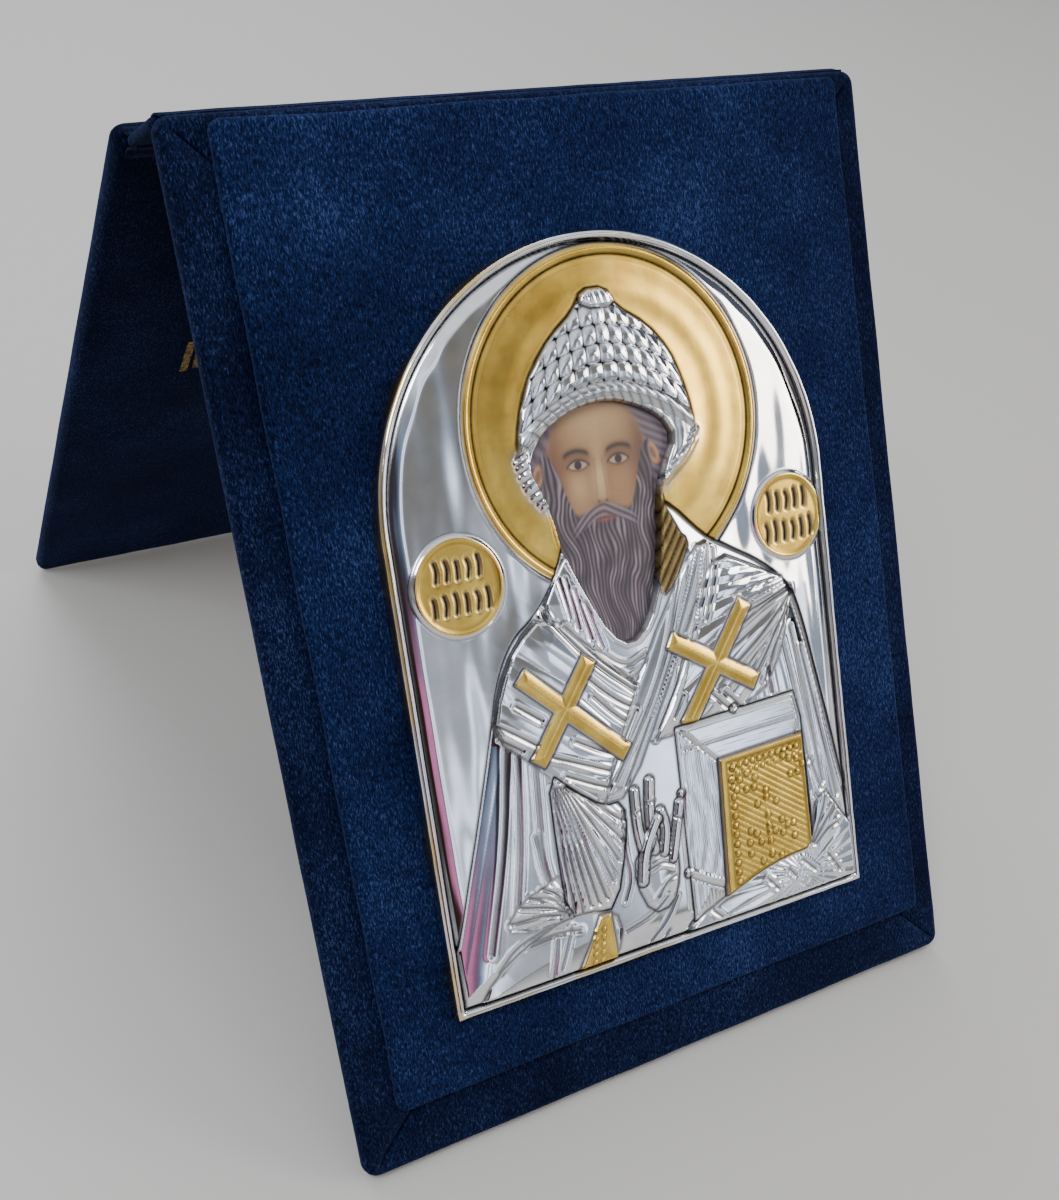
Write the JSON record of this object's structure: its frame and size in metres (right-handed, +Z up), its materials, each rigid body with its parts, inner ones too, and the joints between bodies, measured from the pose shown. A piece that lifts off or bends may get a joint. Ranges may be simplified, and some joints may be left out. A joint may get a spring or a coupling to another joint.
{
  "type": "icon panel",
  "caption": "Standing travel icon: an arched embossed metal plaque with a half-length figure on a velvet-covered leaf, with a folding velvet cover joined by a spine.",
  "frame": {"origin": "on the table, in the middle of the footprint of the standing tent", "axes": "+X along the leaves, the plaque faces -Y, +Z up"},
  "size_m": [0.09, 0.1406, 0.104],
  "materials": {
    "velvet": "deep navy velvet with short pile",
    "velvet_lining": "navy velvet over a raised panel",
    "silver_plate": "embossed aluminium sheet, silver-plated, with gilt areas and dark patina in its hollows",
    "printed_card": "printed card with a clear coat"
  },
  "bodies": {
    "front_leaf": {"front_board": "velvet", "front_panel": "velvet_lining", "icon_plaque": "silver_plate", "printed_insert": "printed_card"},
    "spine": {"spine_strip": "velvet"},
    "cover": {"cover_board": "velvet", "cover_panel": "velvet_lining"}
  },
  "joints": [
    {"name": "front_crease", "type": "hinge", "parent": "front_leaf", "child": "spine", "pos_m": [0, -0.00953, 0.10327], "axis": [1, 0, 0], "range_deg": [0, 180]},
    {"name": "cover_crease", "type": "hinge", "parent": "spine", "child": "cover", "pos_m": [0, 0.00057, 0.09756], "axis": [1, 0, 0], "range_deg": [-64, 115.8]}
  ]
}
